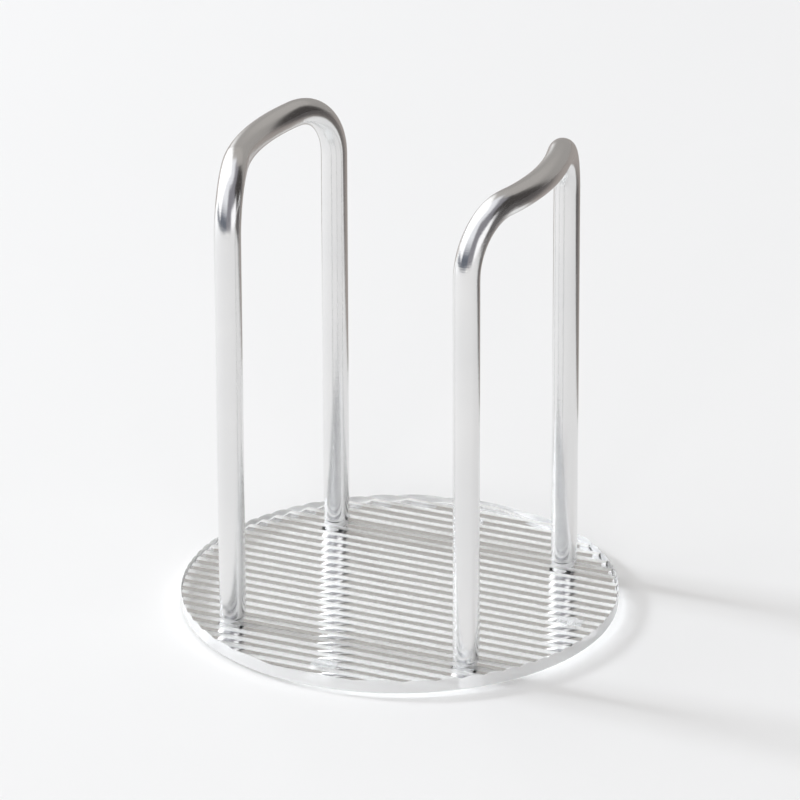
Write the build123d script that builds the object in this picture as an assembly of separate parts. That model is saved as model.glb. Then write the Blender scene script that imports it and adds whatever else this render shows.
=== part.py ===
from build123d import *

import os
from math import cos, radians, sin

# Tabletop plastic bag holder: a clear fluted round plate that carries two bent-tube hoops.
# Frame: origin on the resting plane under the middle of the plate, +Z up.
# +X points from the left hoop to the right hoop, along the flutes. +Y points to the back.

# ---- Driving dimensions, millimetres and degrees ----

# Plate
PLATE_DIAMETER = 200.0
PLATE_THICKNESS = 6.5          # underside to the crests of the flutes
PLATE_EDGE_RADIUS = 0.6
PLATE_EDGE_RISE = 0.3          # the disc that rounds the rim stands this far above the crests
FLUTE_PITCH = 7.0
FLUTE_DEPTH = 0.7              # crest to valley

# Hoops
TUBE_DIAMETER = 12.0
TUBE_WALL = 1.0
LEG_OFFSET_X = 57.5            # plate centre to leg axis
LEG_OFFSET_Y = 57.5
HOOP_AXIS_HEIGHT = 210.0       # crests of the flutes to the top tube's axis
CORNER_BEND_RADIUS = 28.0      # to the tube's axis
CORNER_BEND_ANGLE = 90.0
BEND_SPLAY = 15.5              # the corner bends lean outwards by this angle in plan

# Leg joints
SEAT_CLEARANCE = 0.1           # radial, tube in its seat in the plate
SEAT_BELOW_VALLEY = 0.1
PLUG_LENGTH = 18.0
PLUG_FIT = 0.02                # radial, pressed plug in the tube
PLUG_CHAMFER = 0.5
SCREW_DIAMETER = 6.0
SCREW_LENGTH = 14.0            # under the head
SCREW_HEAD_DIAMETER = 10.0
SCREW_HEAD_HEIGHT = 4.0
SCREW_HEAD_CHAMFER = 0.4
SCREW_SOCKET_FLATS = 4.0
SCREW_SOCKET_DEPTH = 2.2
THREAD_FIT = 0.05              # radial, screw in the tapped plug
SCREW_HOLE_DIAMETER = 6.6
RECESS_DIAMETER = 10.8
RECESS_DEPTH = 4.2

# Feet
FOOT_DIAMETER = 12.0
FOOT_HEIGHT = 2.0
FOOT_EDGE_RADIUS = 0.5
FOOT_RECESS_DEPTH = 0.5
FOOT_RECESS_CLEARANCE = 0.2    # radial
FOOT_CIRCLE_RADIUS = 84.0

# ---- Levels and positions worked out from them ----

PLATE_BOTTOM = FOOT_HEIGHT - FOOT_RECESS_DEPTH
PLATE_TOP = PLATE_BOTTOM + PLATE_THICKNESS
SEAT_LEVEL = PLATE_TOP - FLUTE_DEPTH - SEAT_BELOW_VALLEY
HOOP_AXIS_LEVEL = PLATE_TOP + HOOP_AXIS_HEIGHT
TUBE_BORE = TUBE_DIAMETER - 2 * TUBE_WALL
SEAT_DIAMETER = TUBE_DIAMETER + 2 * SEAT_CLEARANCE
SCREW_HEAD_TOP = PLATE_BOTTOM + RECESS_DEPTH

SIDES = {"left": -1, "right": 1}
ENDS = {"front": -1, "back": 1}

OVERRUN = 1.0                  # how far a cutting shape runs past what it cuts


def leg_positions():
    """Plan position of every leg axis, by side and end."""
    return {
        (side, end): (SIDES[side] * LEG_OFFSET_X, ENDS[end] * LEG_OFFSET_Y)
        for side in SIDES
        for end in ENDS
    }


def foot_positions():
    """Plan position of every foot: front, right, back and left."""
    return {
        "front": (0, -FOOT_CIRCLE_RADIUS),
        "right": (FOOT_CIRCLE_RADIUS, 0),
        "back": (0, FOOT_CIRCLE_RADIUS),
        "left": (-FOOT_CIRCLE_RADIUS, 0),
    }


def standing_cylinder(position, diameter, bottom, top):
    """A vertical cylinder between two levels."""
    x, y = position
    middle = (bottom + top) / 2
    return Pos(x, y, middle) * Cylinder(diameter / 2, top - bottom)


def make_plate():
    """Clear round plate: convex flutes along X on top, leg seats, screw recesses, foot recesses."""
    radius = PLATE_DIAMETER / 2
    flutes_each_side = int(radius // FLUTE_PITCH) + 1
    start = -flutes_each_side * FLUTE_PITCH
    valley = PLATE_TOP - FLUTE_DEPTH
    points = [Vector(0, start + index * FLUTE_PITCH, valley) for index in range(2 * flutes_each_side + 1)]
    crests = [
        ThreePointArc(low, (low + high) / 2 + Vector(0, 0, FLUTE_DEPTH), high)
        for low, high in zip(points, points[1:])
    ]
    first_corner = Vector(0, start, PLATE_BOTTOM)
    last_corner = Vector(0, -start, PLATE_BOTTOM)
    outline = [
        *crests,
        Line(points[-1], last_corner),
        Line(last_corner, first_corner),
        Line(first_corner, points[0]),
    ]
    prism = extrude(Face(Wire(outline)), amount=radius + OVERRUN, dir=(1, 0, 0), both=True)
    disc = standing_cylinder((0, 0), PLATE_DIAMETER, PLATE_BOTTOM, PLATE_TOP + PLATE_EDGE_RISE)
    disc = fillet(disc.edges().filter_by(GeomType.CIRCLE), PLATE_EDGE_RADIUS)
    plate = prism & disc
    for position in leg_positions().values():
        plate -= standing_cylinder(position, SEAT_DIAMETER, SEAT_LEVEL, PLATE_TOP + OVERRUN)
        plate -= standing_cylinder(position, SCREW_HOLE_DIAMETER, PLATE_BOTTOM - OVERRUN, PLATE_TOP)
        plate -= standing_cylinder(position, RECESS_DIAMETER, PLATE_BOTTOM - OVERRUN, SCREW_HEAD_TOP)
    recess_diameter = FOOT_DIAMETER + 2 * FOOT_RECESS_CLEARANCE
    for position in foot_positions().values():
        plate -= standing_cylinder(position, recess_diameter, PLATE_BOTTOM - OVERRUN, FOOT_HEIGHT)
    return plate


def hoop_path(side):
    """Axis of one hoop: a leg, a corner bend, a top arc bowed outwards, a corner bend and a leg."""
    splay = radians(BEND_SPLAY)
    outwards = SIDES[side]
    front = Vector(outwards * LEG_OFFSET_X, -LEG_OFFSET_Y, SEAT_LEVEL)
    bend_start = Vector(front.X, front.Y, HOOP_AXIS_LEVEL - CORNER_BEND_RADIUS)
    lean = Vector(outwards * sin(splay), cos(splay), 0)
    bend_centre = bend_start + lean * CORNER_BEND_RADIUS
    half_bend = radians(CORNER_BEND_ANGLE / 2)
    reach = lean * cos(half_bend) - Vector(0, 0, sin(half_bend))
    bend_middle = bend_centre - reach * CORNER_BEND_RADIUS
    bend_end = bend_centre + Vector(0, 0, CORNER_BEND_RADIUS)
    top_radius = (LEG_OFFSET_Y - CORNER_BEND_RADIUS * cos(splay)) / sin(splay)
    bulge = top_radius * (1 - cos(splay))
    top_middle = Vector(bend_end.X + outwards * bulge, 0, HOOP_AXIS_LEVEL)

    def back(point):
        return Vector(point.X, -point.Y, point.Z)

    return Wire(
        [
            Line(front, bend_start),
            ThreePointArc(bend_start, bend_middle, bend_end),
            ThreePointArc(bend_end, top_middle, back(bend_end)),
            ThreePointArc(back(bend_end), back(bend_middle), back(bend_start)),
            Line(back(bend_start), back(front)),
        ]
    )


def make_hoop(side):
    """Bent tube, open at both leg ends."""
    path = hoop_path(side)
    start = Plane(origin=path @ 0, z_dir=path % 0)
    outer = sweep(start * Circle(TUBE_DIAMETER / 2), path=path)
    inner = sweep(start * Circle(TUBE_BORE / 2), path=path)
    return outer - inner


def make_plug(position):
    """Steel plug pressed into a leg's end and tapped for the screw."""
    body = standing_cylinder(position, TUBE_BORE - 2 * PLUG_FIT, SEAT_LEVEL, SEAT_LEVEL + PLUG_LENGTH)
    body = chamfer(body.edges().filter_by(GeomType.CIRCLE), PLUG_CHAMFER)
    tapped = SCREW_DIAMETER + 2 * THREAD_FIT
    bottom = SEAT_LEVEL - OVERRUN
    top = SEAT_LEVEL + PLUG_LENGTH + OVERRUN
    return body - standing_cylinder(position, tapped, bottom, top)


def make_screw(position):
    """Low-head socket screw, driven up from the underside of the plate."""
    head_bottom = SCREW_HEAD_TOP - SCREW_HEAD_HEIGHT
    head = standing_cylinder(position, SCREW_HEAD_DIAMETER, head_bottom, SCREW_HEAD_TOP)
    head = chamfer(head.edges().filter_by(GeomType.CIRCLE), SCREW_HEAD_CHAMFER)
    shank = standing_cylinder(position, SCREW_DIAMETER, SCREW_HEAD_TOP, SCREW_HEAD_TOP + SCREW_LENGTH)
    shank = chamfer(shank.edges().filter_by(GeomType.CIRCLE).sort_by(Axis.Z)[-1], SCREW_HEAD_CHAMFER)
    x, y = position
    hexagon = RegularPolygon(SCREW_SOCKET_FLATS / 2, 6, major_radius=False)
    socket = Pos(x, y, head_bottom) * extrude(hexagon, amount=SCREW_SOCKET_DEPTH)
    return head + shank - socket


def make_foot(position):
    """Clear soft pad, stuck in a shallow recess under the plate."""
    pad = standing_cylinder(position, FOOT_DIAMETER, 0, FOOT_HEIGHT)
    bottom_edge = pad.edges().filter_by(GeomType.CIRCLE).sort_by(Axis.Z)[0]
    return fillet(bottom_edge, FOOT_EDGE_RADIUS)


def write(name, shape):
    """Save one node."""
    shape.label = name
    export_step(shape, f"parts/{name}.step")


def main():
    os.makedirs("parts", exist_ok=True)
    write("base_plate", make_plate())
    for side in SIDES:
        write(f"hoop_{side}", make_hoop(side))
    for (side, end), position in leg_positions().items():
        write(f"leg_plug_{side}_{end}", make_plug(position))
    write("leg_screws", Compound(children=[make_screw(position) for position in leg_positions().values()]))
    for name, position in foot_positions().items():
        write(f"foot_{name}", make_foot(position))


main()
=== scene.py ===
from math import cos, radians, sin

import bpy
from mathutils import Matrix, Vector


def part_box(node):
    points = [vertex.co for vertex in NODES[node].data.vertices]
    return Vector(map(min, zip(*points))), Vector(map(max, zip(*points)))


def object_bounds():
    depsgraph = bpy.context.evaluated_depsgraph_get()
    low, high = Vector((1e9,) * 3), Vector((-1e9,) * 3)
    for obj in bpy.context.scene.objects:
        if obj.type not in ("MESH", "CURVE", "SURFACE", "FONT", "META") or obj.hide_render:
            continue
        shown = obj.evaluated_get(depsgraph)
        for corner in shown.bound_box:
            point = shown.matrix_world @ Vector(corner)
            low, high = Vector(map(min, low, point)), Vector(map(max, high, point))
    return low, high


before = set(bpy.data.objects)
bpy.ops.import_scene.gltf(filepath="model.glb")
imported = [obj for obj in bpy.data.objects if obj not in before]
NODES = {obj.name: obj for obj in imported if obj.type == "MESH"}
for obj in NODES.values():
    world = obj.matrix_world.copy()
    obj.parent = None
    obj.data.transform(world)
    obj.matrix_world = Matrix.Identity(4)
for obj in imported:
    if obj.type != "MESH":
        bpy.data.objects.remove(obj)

# Tabletop plastic bag holder: a clear fluted round plate and two polished bent-tube hoops.
# Metres, in the frame of the part: +Z up, the hoops at -X and +X, flutes along X.

CAD_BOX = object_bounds()

# ---- Camera ----
VIEW_AZIMUTH = radians(23.74)
VIEW_ELEVATION = radians(23.62)
VIEW_ROLL = radians(-0.17)
VIEW_DISTANCE = 3.005
VIEW_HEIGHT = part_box("base_plate")[1][2] + 0.0922     # the level that the camera looks at
VIEW_SIDE = 0.0003            # how far that point is to the camera's right of the middle
LENS = 299.3                  # mm
SENSOR_WIDTH = 36.0           # mm
CLIP_END = 50.0

# ---- Materials. A grain is the scale of a noise, and a pair is a range or two colours. ----
NOISE_SPAN = 0.3, 0.7         # where most of a noise lies

TUBE_COLOURS = (0.80, 0.80, 0.80), (0.86, 0.855, 0.85)
TUBE_COLOUR_GRAIN = 18.0
TUBE_ROUGHNESS = 0.17, 0.22
TUBE_ROUGHNESS_GRAIN = 60.0
TUBE_RING_GRAIN = 1500.0
TUBE_RING_STRETCH = (0.02, 0.02, 1)
TUBE_RING_HEIGHT = 0.00003

ACRYLIC_COLOUR = (0.985, 0.99, 0.988)
ACRYLIC_IOR = 1.49
ACRYLIC_LEVEL = 0.55, 0.88    # the normal's Z, from the edge to the top or the underside
ACRYLIC_EDGE_CLEARNESS = 0.4
ACRYLIC_GLOSS = 0.01, 0.035   # roughness everywhere
ACRYLIC_GLOSS_GRAIN = 120.0
ACRYLIC_FROST = 0.16, 0.22    # roughness added at the edge
ACRYLIC_FROST_GRAIN = 200.0
ACRYLIC_RIPPLE_GRAIN = 260.0
ACRYLIC_RIPPLE_HEIGHT = 0.00001
ACRYLIC_LAMPLIGHT = (0.08, 0.08, 0.08), (0.98, 0.98, 0.98)  # let through by the edge, and elsewhere

PLUG_COLOUR = (0.56, 0.57, 0.58)
PLUG_ROUGHNESS = 0.25
SCREW_COLOUR = (0.88, 0.88, 0.88)
SCREW_ROUGHNESS = 0.18
STEEL_DARKER = 0.85           # its darker patches, of its colour
STEEL_ROUGHER = 1.5           # its rougher rings, of its roughness
STEEL_COLOUR_GRAIN = 300.0
STEEL_RING_GRAIN = 700.0
STEEL_RING_STRETCH = (0.1, 0.1, 6)
STEEL_RING_HEIGHT = 0.00001

SILICONE_COLOUR = (0.96, 0.955, 0.945)
SILICONE_IOR = 1.41
SILICONE_CLEARNESS = 0.1
SILICONE_ROUGHNESS = 0.22, 0.36
SILICONE_ROUGHNESS_GRAIN = 500.0
SILICONE_SKIN_GRAIN = 1500.0
SILICONE_SKIN_HEIGHT = 0.00001
SILICONE_LAMPLIGHT = (0.97, 0.97, 0.97)

# ---- Table, and the floor of the room that the tubes mirror behind it ----
FLOOR_SIZE = 14.0
FLOOR_COLOUR = (0.91, 0.905, 0.885)
FLOOR_DARKER = 0.985          # its darker patches, of its colour
FLOOR_COLOUR_GRAIN = 3.0
FLOOR_ROUGHNESS = 0.7, 0.8
FLOOR_ROUGHNESS_GRAIN = 40.0
FLOOR_SPECULAR = 0.15
FLOOR_SKIN_GRAIN = 400.0
FLOOR_SKIN_HEIGHT = 0.00003

TABLE_EDGE_Y = 0.243          # where the table ends, on the middle line
TABLE_EDGE_TURN = radians(-6.2)
ROOM_FLOOR_REACH = 6.0        # to each side, and away from the table
ROOM_FLOOR_LIFT = 0.0004      # over the plain floor
ROOM_FLOOR_COLOUR_AND_PAINTED_SHADE = (0.38, 0.34, 0.31), (0.10, 0.09, 0.085)  # brown floor at the left, painted shade at the right
ROOM_FLOOR_PAINTED_SHADE_CHANGE = -0.1, 0.3  # where the floor passes into the painted shade, in X where Y is 0
ROOM_FLOOR_PAINTED_SHADE_SLANT = -0.55      # the painted shade's edge: added to X for each unit of Y
ROOM_FLOOR_ROUGHNESS = 0.6

# ---- Room, drawn by direction. Azimuth 0 is the front, and it grows to the right. ----
HALF_TURN = 180.0
LOW_COLOUR = (0.20, 0.21, 0.24)
OVERHEAD_COLOUR = (0.92, 0.93, 0.97)
OVERHEAD_ELEVATION = 8, 46    # degrees, from the low colour to the overhead one
BACKDROP = (0.9, 0.9, 0.9)    # what the camera sees instead of the room
SURROUNDINGS = [
    # degrees: azimuth from, to, elevation from, to, softness; colour. Later ones cover earlier.
    (-95, 60, -10, 14, 12, (0.12, 0.135, 0.17)),       # cool grey front, low down
    (20, 160, -10, 62, 12, (0.27, 0.265, 0.29)),       # grey right side
    (90, 154, -10, 43, 7, (0.06, 0.055, 0.053)),       # dark brown, right and behind
    (56, 93, -10, 24, 6, (1.2, 1.2, 1.22)),            # white patch at the right
    (150, 214, -10, 52, 12, (0.45, 0.43, 0.41)),       # warm grey wall behind
    (150, 214, -10, 22, 10, (0.37, 0.355, 0.34)),      # and its darker foot
    (-138, -88, -10, 90, 10, (1.3, 1.3, 1.3)),         # window at the left, down to the table
    (-100, -48, 14, 90, 10, (1.3, 1.3, 1.32)),         # and its upper part, to the front
]
LAMP_AIM = Vector((0, 0, 0.1))


# ---- Shader nodes ----

def feed(tree, socket, value):
    """Gives a socket a number, a colour, or what another socket puts out."""
    if isinstance(value, tuple):
        socket.default_value = (*value, 1)
    elif isinstance(value, (int, float)):
        socket.default_value = value
    else:
        tree.links.new(value, socket)


def calculate(tree, operation, *values):
    """A math node, given numbers or sockets."""
    made = tree.nodes.new("ShaderNodeMath")
    made.operation = operation
    for socket, value in zip(made.inputs, values):
        feed(tree, socket, value)
    return made.outputs["Value"]


def blend(tree, factor, first, second):
    """The first colour where the factor is 0, and the second where it is 1."""
    mix = tree.nodes.new("ShaderNodeMix")
    mix.data_type = "RGBA"
    feed(tree, mix.inputs["Factor"], factor)
    feed(tree, mix.inputs["A"], first)
    feed(tree, mix.inputs["B"], second)
    return mix.outputs["Result"]


def step(tree, value, low, high):
    """0 at low, 1 at high, smooth between. High may be the smaller of the two."""
    made = tree.nodes.new("ShaderNodeMapRange")
    made.interpolation_type = "SMOOTHSTEP"
    made.inputs["From Min"].default_value = low
    made.inputs["From Max"].default_value = high
    tree.links.new(value, made.inputs["Value"])
    return made.outputs["Result"]


def spread(tree, value, low, high):
    """A noise value turned into a range."""
    ramp = tree.nodes.new("ShaderNodeMapRange")
    ramp.inputs["From Min"].default_value, ramp.inputs["From Max"].default_value = NOISE_SPAN
    ramp.inputs["To Min"].default_value = low
    ramp.inputs["To Max"].default_value = high
    tree.links.new(value, ramp.inputs["Value"])
    return ramp.outputs["Result"]


def noise(tree, grain, detail=3.0, stretch=(1, 1, 1)):
    """Noise in the part's own coordinates, in metres, stretched along its axes."""
    place = tree.nodes.new("ShaderNodeTexCoord")
    mapping = tree.nodes.new("ShaderNodeMapping")
    mapping.inputs["Scale"].default_value = stretch
    texture = tree.nodes.new("ShaderNodeTexNoise")
    texture.inputs["Scale"].default_value = grain
    texture.inputs["Detail"].default_value = detail
    tree.links.new(place.outputs["Object"], mapping.inputs["Vector"])
    tree.links.new(mapping.outputs["Vector"], texture.inputs["Vector"])
    return texture.outputs["Fac"]


def bump(tree, shader, pattern, height):
    """A bump on the shader, from a pattern between 0 and 1."""
    made = tree.nodes.new("ShaderNodeBump")
    made.inputs["Strength"].default_value = 1.0
    made.inputs["Distance"].default_value = height
    tree.links.new(pattern, made.inputs["Height"])
    tree.links.new(made.outputs["Normal"], shader.inputs["Normal"])


def components(tree, coordinates):
    """X, Y and Z of one kind of texture coordinates."""
    place = tree.nodes.new("ShaderNodeTexCoord")
    split = tree.nodes.new("ShaderNodeSeparateXYZ")
    tree.links.new(place.outputs[coordinates], split.inputs["Vector"])
    return split.outputs


def show_instead(tree, shader, when, other):
    """Puts another shader in this one's place where a socket gives 1."""
    both = tree.nodes.new("ShaderNodeMixShader")
    tree.links.new(when, both.inputs["Fac"])
    tree.links.new(shader.outputs["BSDF"], both.inputs[1])
    tree.links.new(other.outputs["BSDF"], both.inputs[2])
    tree.links.new(both.outputs["Shader"], tree.nodes["Material Output"].inputs["Surface"])


def let_lamplight_through(tree, shader, tint):
    """Lamps shine straight through the material, tinted. Everything else meets its shader."""
    clear = tree.nodes.new("ShaderNodeBsdfTransparent")
    feed(tree, clear.inputs["Color"], tint)
    path = tree.nodes.new("ShaderNodeLightPath")
    show_instead(tree, shader, path.outputs["Is Shadow Ray"], clear)


# ---- Materials ----

def new_material(name):
    """A new material, its node tree and its Principled shader."""
    material = bpy.data.materials.new(name)
    material.use_nodes = True
    tree = material.node_tree
    return material, tree, tree.nodes["Principled BSDF"]


def polished_tube():
    """Polished stainless tube with faint polishing rings around the legs."""
    material, tree, shader = new_material("polished_tube")
    shader.inputs["Metallic"].default_value = 1.0
    patches = spread(tree, noise(tree, TUBE_COLOUR_GRAIN), 0.0, 1.0)
    tree.links.new(blend(tree, patches, *TUBE_COLOURS), shader.inputs["Base Color"])
    roughness = spread(tree, noise(tree, TUBE_ROUGHNESS_GRAIN), *TUBE_ROUGHNESS)
    tree.links.new(roughness, shader.inputs["Roughness"])
    rings = noise(tree, TUBE_RING_GRAIN, detail=2.0, stretch=TUBE_RING_STRETCH)
    bump(tree, shader, rings, TUBE_RING_HEIGHT)
    return material


def clear_acrylic():
    """Clear moulded acrylic. Its edge is half matt, and holds most of the lamps' light back."""
    material, tree, shader = new_material("clear_acrylic")
    feed(tree, shader.inputs["Base Color"], ACRYLIC_COLOUR)
    shader.inputs["IOR"].default_value = ACRYLIC_IOR
    upright = calculate(tree, "ABSOLUTE", components(tree, "Normal")["Z"])
    level = step(tree, upright, *ACRYLIC_LEVEL)
    edge = calculate(tree, "SUBTRACT", 1.0, level)
    gloss = spread(tree, noise(tree, ACRYLIC_GLOSS_GRAIN), *ACRYLIC_GLOSS)
    matt = spread(tree, noise(tree, ACRYLIC_FROST_GRAIN), *ACRYLIC_FROST)
    frost = calculate(tree, "MULTIPLY", edge, matt)
    tree.links.new(calculate(tree, "ADD", gloss, frost), shader.inputs["Roughness"])
    more = 1.0 - ACRYLIC_EDGE_CLEARNESS
    clearness = calculate(tree, "MULTIPLY_ADD", level, more, ACRYLIC_EDGE_CLEARNESS)
    tree.links.new(clearness, shader.inputs["Transmission Weight"])
    ripple = noise(tree, ACRYLIC_RIPPLE_GRAIN, detail=1.0)
    bump(tree, shader, ripple, ACRYLIC_RIPPLE_HEIGHT)
    let_lamplight_through(tree, shader, blend(tree, level, *ACRYLIC_LAMPLIGHT))
    return material


def turned_steel(name, colour, roughness):
    """Turned steel with fine rings."""
    material, tree, shader = new_material(name)
    shader.inputs["Metallic"].default_value = 1.0
    darker = tuple(part * STEEL_DARKER for part in colour)
    patches = blend(tree, noise(tree, STEEL_COLOUR_GRAIN), darker, colour)
    tree.links.new(patches, shader.inputs["Base Color"])
    rings = noise(tree, STEEL_RING_GRAIN, detail=2.0, stretch=STEEL_RING_STRETCH)
    worn = spread(tree, rings, roughness, roughness * STEEL_ROUGHER)
    tree.links.new(worn, shader.inputs["Roughness"])
    bump(tree, shader, rings, STEEL_RING_HEIGHT)
    return material


def clear_silicone():
    """Soft milky pad."""
    material, tree, shader = new_material("clear_silicone")
    feed(tree, shader.inputs["Base Color"], SILICONE_COLOUR)
    shader.inputs["IOR"].default_value = SILICONE_IOR
    shader.inputs["Transmission Weight"].default_value = SILICONE_CLEARNESS
    roughness = spread(tree, noise(tree, SILICONE_ROUGHNESS_GRAIN), *SILICONE_ROUGHNESS)
    tree.links.new(roughness, shader.inputs["Roughness"])
    bump(tree, shader, noise(tree, SILICONE_SKIN_GRAIN), SILICONE_SKIN_HEIGHT)
    let_lamplight_through(tree, shader, SILICONE_LAMPLIGHT)
    return material


def floor_material():
    """Pale matt table with a faint mottle."""
    material, tree, shader = new_material("floor")
    darker = tuple(part * FLOOR_DARKER for part in FLOOR_COLOUR)
    mottle = blend(tree, noise(tree, FLOOR_COLOUR_GRAIN), darker, FLOOR_COLOUR)
    tree.links.new(mottle, shader.inputs["Base Color"])
    roughness = spread(tree, noise(tree, FLOOR_ROUGHNESS_GRAIN), *FLOOR_ROUGHNESS)
    tree.links.new(roughness, shader.inputs["Roughness"])
    shader.inputs["Specular IOR Level"].default_value = FLOOR_SPECULAR
    bump(tree, shader, noise(tree, FLOOR_SKIN_GRAIN), FLOOR_SKIN_HEIGHT)
    return material


def room_floor_material():
    """Brown floor, with painted shade darkening it at the right. It can only be seen from above."""
    material, tree, shader = new_material("room_floor")
    place = components(tree, "Object")
    across = calculate(tree, "MULTIPLY_ADD", place["Y"], ROOM_FLOOR_PAINTED_SHADE_SLANT, place["X"])
    # Painted shade: the room floor turns dark towards the right.
    painted_shade_to_the_right = step(tree, across, *ROOM_FLOOR_PAINTED_SHADE_CHANGE)
    colour = blend(tree, painted_shade_to_the_right, *ROOM_FLOOR_COLOUR_AND_PAINTED_SHADE)
    tree.links.new(colour, shader.inputs["Base Color"])
    shader.inputs["Roughness"].default_value = ROOM_FLOOR_ROUGHNESS
    clear = tree.nodes.new("ShaderNodeBsdfTransparent")
    geometry = tree.nodes.new("ShaderNodeNewGeometry")
    show_instead(tree, shader, geometry.outputs["Backfacing"], clear)
    return material


def give(name, material):
    """Puts one material on a CAD node."""
    slots = NODES[name].material_slots
    for slot in slots:
        slot.material = material
    if not slots:
        NODES[name].data.materials.append(material)


def give_materials():
    """Every CAD node gets its material."""
    tube = polished_tube()
    plate = clear_acrylic()
    plug = turned_steel("plug_steel", PLUG_COLOUR, PLUG_ROUGHNESS)
    screw = turned_steel("screw_steel", SCREW_COLOUR, SCREW_ROUGHNESS)
    foot = clear_silicone()
    for name in NODES:
        if name.startswith("hoop"):
            give(name, tube)
        elif name.startswith("leg_plug"):
            give(name, plug)
        elif name.startswith("foot"):
            give(name, foot)
    give("base_plate", plate)
    give("leg_screws", screw)


# ---- Camera, table, room and lamps ----

def direction_to(azimuth, elevation):
    """The direction from the part to something around it."""
    return Vector((
        sin(azimuth) * cos(elevation),
        -cos(azimuth) * cos(elevation),
        sin(elevation),
    ))


def add_camera():
    """Long lens, from the front and a little to the right, looking down on the plate."""
    right = Vector((cos(VIEW_AZIMUTH), sin(VIEW_AZIMUTH), 0))
    back = direction_to(VIEW_AZIMUTH, VIEW_ELEVATION)
    up = back.cross(right)
    camera_x = right * cos(VIEW_ROLL) + up * sin(VIEW_ROLL)
    camera_y = back.cross(camera_x)
    target = right * VIEW_SIDE + Vector((0, 0, VIEW_HEIGHT))
    camera = bpy.data.objects.new("camera", bpy.data.cameras.new("camera"))
    turn = Matrix((camera_x, camera_y, back)).transposed().to_4x4()
    camera.matrix_world = Matrix.Translation(target + back * VIEW_DISTANCE) @ turn
    camera.data.lens = LENS
    camera.data.sensor_width = SENSOR_WIDTH
    camera.data.clip_end = CLIP_END
    bpy.context.scene.collection.objects.link(camera)
    bpy.context.scene.camera = camera


def add_floor():
    """A plain pale table under the part."""
    bpy.ops.mesh.primitive_plane_add(size=FLOOR_SIZE, location=(0, 0, CAD_BOX[0][2]))
    floor = bpy.context.object
    floor.name = "floor"
    floor.data.materials.append(floor_material())


def add_room_floor():
    """Beyond the back of the table the floor is brown, with painted shade at the right. It shows
    only in reflections.
    """
    edge = Vector((0, TABLE_EDGE_Y, ROOM_FLOOR_LIFT))
    along = Vector((cos(TABLE_EDGE_TURN), sin(TABLE_EDGE_TURN), 0)) * ROOM_FLOOR_REACH
    away = Vector((-along.y, along.x, 0))
    corners = [edge - along, edge + along, edge + along + away, edge - along + away]
    mesh = bpy.data.meshes.new("room_floor")
    mesh.from_pydata([corner[:] for corner in corners], [], [(0, 1, 2, 3)])
    mesh.materials.append(room_floor_material())
    card = bpy.data.objects.new("room_floor", mesh)
    bpy.context.scene.collection.objects.link(card)
    card.visible_camera = False
    card.visible_diffuse = False
    card.visible_shadow = False
    card.visible_transmission = False


def add_world():
    """A bright room: a window at the left, a white ceiling, and darker things at the right."""
    world = bpy.data.worlds.new("studio")
    bpy.context.scene.world = world
    world.use_nodes = True
    tree = world.node_tree
    x, y, z = components(tree, "Generated")
    elevation = calculate(tree, "DEGREES", calculate(tree, "ARCSINE", z))
    forward = calculate(tree, "MULTIPLY", y, -1.0)
    azimuth = calculate(tree, "DEGREES", calculate(tree, "ARCTAN2", x, forward))
    overhead = step(tree, elevation, *OVERHEAD_ELEVATION)
    colour = blend(tree, overhead, LOW_COLOUR, OVERHEAD_COLOUR)
    for start, end, low, high, soft, tint in SURROUNDINGS:
        half = (end - start) / 2
        offset = calculate(tree, "SUBTRACT", azimuth, (start + end) / 2)
        turned = calculate(tree, "WRAP", offset, HALF_TURN, -HALF_TURN)
        across = step(tree, calculate(tree, "ABSOLUTE", turned), half + soft, half)
        above = step(tree, elevation, low - soft, low)
        below = step(tree, elevation, high + soft, high)
        between = calculate(tree, "MULTIPLY", across, above)
        colour = blend(tree, calculate(tree, "MULTIPLY", between, below), colour, tint)
    path = tree.nodes.new("ShaderNodeLightPath")
    seen = blend(tree, path.outputs["Is Camera Ray"], colour, BACKDROP)
    tree.links.new(seen, tree.nodes["Background"].inputs["Color"])


def add_area(name, azimuth, elevation, distance, size, power, colour, mirrored):
    """A soft box facing the part."""
    direction = direction_to(azimuth, elevation)
    light = bpy.data.lights.new(name, "AREA")
    light.shape = "RECTANGLE"
    light.size, light.size_y = size
    light.energy = power
    light.color = colour
    lamp = bpy.data.objects.new(name, light)
    lamp.location = LAMP_AIM + direction * distance
    lamp.rotation_euler = direction.to_track_quat("Z", "Y").to_euler()
    lamp.visible_transmission = False
    lamp.visible_glossy = mirrored
    bpy.context.scene.collection.objects.link(lamp)


add_camera()
give_materials()
add_floor()
add_world()
add_room_floor()
add_area(
    "key",
    azimuth=radians(-90),
    elevation=radians(26),
    distance=5.0,
    size=(0.8, 0.8),
    power=130.0,
    colour=(0.94, 0.98, 1.04),
    mirrored=True,
)
add_area(
    "fill",
    azimuth=radians(20),
    elevation=radians(10),
    distance=5.0,
    size=(3.0, 1.0),
    power=88.0,
    colour=(1, 0.99, 0.97),
    mirrored=False,
)

bpy.context.scene.view_settings.view_transform = "Standard"
